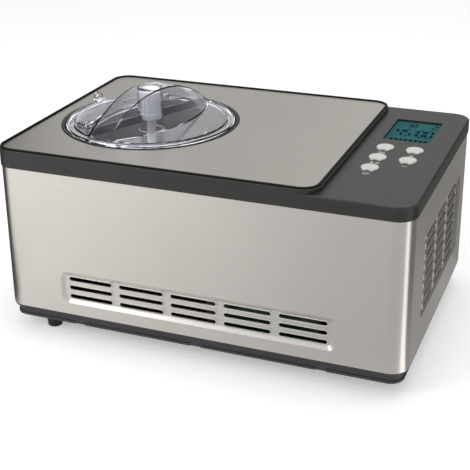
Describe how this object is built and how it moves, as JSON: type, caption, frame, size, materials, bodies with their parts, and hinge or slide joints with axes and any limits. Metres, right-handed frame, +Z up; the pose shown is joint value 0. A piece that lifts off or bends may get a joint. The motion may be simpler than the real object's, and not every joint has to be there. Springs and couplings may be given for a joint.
{
  "type": "ice cream maker",
  "caption": "Countertop compressor ice cream maker: brushed steel body with slotted vents, clear lid with arched grip and refill flap over a removable bowl, display and keys beside it",
  "frame": {"origin": "centre of the footprint on the surface it stands on", "axes": "+X to the user's right along the width, +Y from front to back, +Z up"},
  "size_m": [0.425, 0.28, 0.2358],
  "materials": {
    "steel": "brushed",
    "deck_steel": "brushed",
    "black_plastic": "satin",
    "base_plastic": "matte",
    "foot_rubber": "matte",
    "screw_steel": "zinc plated",
    "clear_plastic": "clear moulded",
    "white_plastic": "satin",
    "bowl_aluminium": "spun",
    "copper": "drawn tube",
    "foam": "foam",
    "gear_plastic": "moulded",
    "shaft_steel": "turned",
    "motor_metal": "plated",
    "compressor_black": "satin paint",
    "condenser_aluminium": "plain fins",
    "board_green": "solder mask",
    "display_glass": "tinted window",
    "key_silver": "satin silver"
  },
  "bodies": {
    "main": {"front_left_foot": "foot_rubber", "rear_left_foot": "foot_rubber", "front_right_foot": "foot_rubber", "rear_right_foot": "foot_rubber", "foot_screws": "screw_steel", "base_tray": "base_plastic", "housing_wrap": "steel", "rear_panel": "black_plastic", "rear_screws": "screw_steel", "cord_gland": "foot_rubber", "top_cover": "black_plastic", "top_plate": "deck_steel", "bowl_bezel": "black_plastic", "cooling_chamber": "bowl_aluminium", "evaporator_coil": "copper", "chamber_insulation": "foam", "shaft_seal": "foot_rubber", "gearbox_housing": "black_plastic", "gearbox_cover": "black_plastic", "shaft_bushing": "copper", "paddle_motor": "motor_metal", "compressor": "compressor_black", "compressor_grommets": "foot_rubber", "compressor_bolts": "screw_steel", "terminal_cover": "black_plastic", "condenser": "condenser_aluminium", "condenser_tubes": "copper", "fan_shroud": "black_plastic", "fan_motor": "motor_metal", "filter_drier": "copper", "discharge_pipe": "copper", "liquid_pipe": "copper", "capillary_tube": "copper", "suction_pipe": "copper", "control_board": "board_green", "control_board_screws": "screw_steel", "display_module": "black_plastic", "display_window": "display_glass", "button_pad": "foot_rubber", "power_board": "board_green"},
    "bowl": {"bowl": "bowl_aluminium"},
    "lid": {"lid": "clear_plastic", "flap_pins": "screw_steel"},
    "flap": {"refill_flap": "clear_plastic"},
    "paddle": {"paddle": "white_plastic"},
    "drive": {"drive_shaft": "shaft_steel", "drive_gear": "gear_plastic"},
    "pinion": {"motor_pinion": "shaft_steel"},
    "fan": {"fan_blades": "black_plastic"},
    "menu_key": {"menu_button": "key_silver"},
    "timer_plus_key": {"timer_plus_button": "key_silver"},
    "start_key": {"start_button": "key_silver"},
    "timer_minus_key": {"timer_minus_button": "key_silver"},
    "power_key": {"power_button": "key_silver"}
  },
  "joints": [
    {"name": "bowl_lift", "type": "slide", "parent": "main", "child": "bowl", "axis": [0, 0, 1], "range_m": [0, 0.14]},
    {"name": "lid_lift", "type": "slide", "parent": "bowl", "child": "lid", "axis": [0, 0, 1], "range_m": [0, 0.08]},
    {"name": "flap_hinge", "type": "hinge", "parent": "lid", "child": "flap", "pos_m": [-0.13201, 0.00226, 0.2049], "axis": [0.2504, 0.9681, 0], "range_deg": [0, 85]},
    {"name": "drive_spin", "type": "hinge", "parent": "main", "child": "drive", "pos_m": [-0.102, -0.0055, 0.05], "axis": [0, 0, 1], "continuous": true},
    {"name": "paddle_spin", "type": "hinge", "parent": "bowl", "child": "paddle", "pos_m": [-0.102, -0.0055, 0.12], "axis": [0, 0, 1], "continuous": true},
    {"name": "pinion_spin", "type": "hinge", "parent": "main", "child": "pinion", "pos_m": [-0.05498, -0.0055, 0.05], "axis": [0, 0, 1], "continuous": true},
    {"name": "fan_spin", "type": "hinge", "parent": "main", "child": "fan", "pos_m": [0.17, 0.008, 0.092], "axis": [1, 0, 0], "continuous": true},
    {"name": "menu_press", "type": "slide", "parent": "main", "child": "menu_key", "axis": [0, 0, -1], "range_m": [0, 0.001], "stiffness_N_per_m": 300},
    {"name": "timer_plus_press", "type": "slide", "parent": "main", "child": "timer_plus_key", "axis": [0, 0, -1], "range_m": [0, 0.001], "stiffness_N_per_m": 300},
    {"name": "start_press", "type": "slide", "parent": "main", "child": "start_key", "axis": [0, 0, -1], "range_m": [0, 0.001], "stiffness_N_per_m": 300},
    {"name": "timer_minus_press", "type": "slide", "parent": "main", "child": "timer_minus_key", "axis": [0, 0, -1], "range_m": [0, 0.001], "stiffness_N_per_m": 300},
    {"name": "power_press", "type": "slide", "parent": "main", "child": "power_key", "axis": [0, 0, -1], "range_m": [0, 0.001], "stiffness_N_per_m": 300}
  ],
  "couplings": [
    {"joint": "paddle_spin", "follows": "drive_spin", "ratio": 1},
    {"joint": "pinion_spin", "follows": "drive_spin", "ratio": -4}
  ]
}
